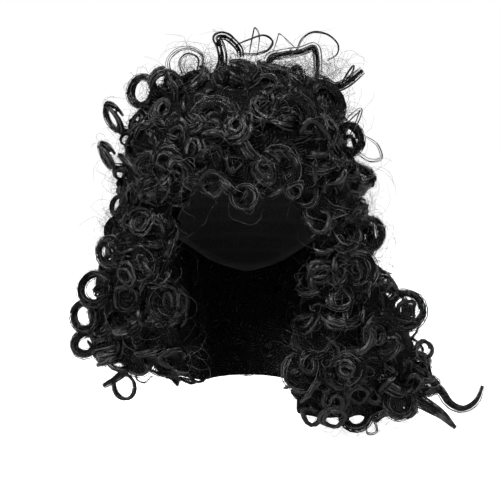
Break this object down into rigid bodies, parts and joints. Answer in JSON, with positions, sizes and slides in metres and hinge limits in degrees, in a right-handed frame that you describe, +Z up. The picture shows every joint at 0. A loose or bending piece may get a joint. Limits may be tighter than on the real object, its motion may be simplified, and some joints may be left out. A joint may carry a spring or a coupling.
{
  "type": "curly wig",
  "caption": "Full dark curly wig: an elastic cap that fits over the head, with a curled fringe and crown and loose ringlets hanging to the shoulders at the sides and back.",
  "frame": {"origin": "inside of the cap at its top, where the crown of the head meets it", "axes": "+Z up, the face looks along -Y, +X on the right of a viewer in front"},
  "size_m": [0.4125, 0.2799, 0.3889],
  "materials": {
    "cap_net": "matt black elastic net with rows of weft",
    "fringe_curls": "black synthetic hair in ringlets, soft sheen",
    "crown_curls": "black synthetic hair in ringlets, soft sheen",
    "left_curls": "black synthetic hair in ringlets, soft sheen",
    "right_curls": "black synthetic hair in ringlets, soft sheen",
    "back_curls": "black synthetic hair in ringlets, soft sheen"
  },
  "bodies": {
    "root": {"cap": "cap_net", "fringe_curls": "fringe_curls", "crown_curls": "crown_curls", "left_curls": "left_curls", "right_curls": "right_curls", "back_curls": "back_curls"}
  },
  "joints": []
}
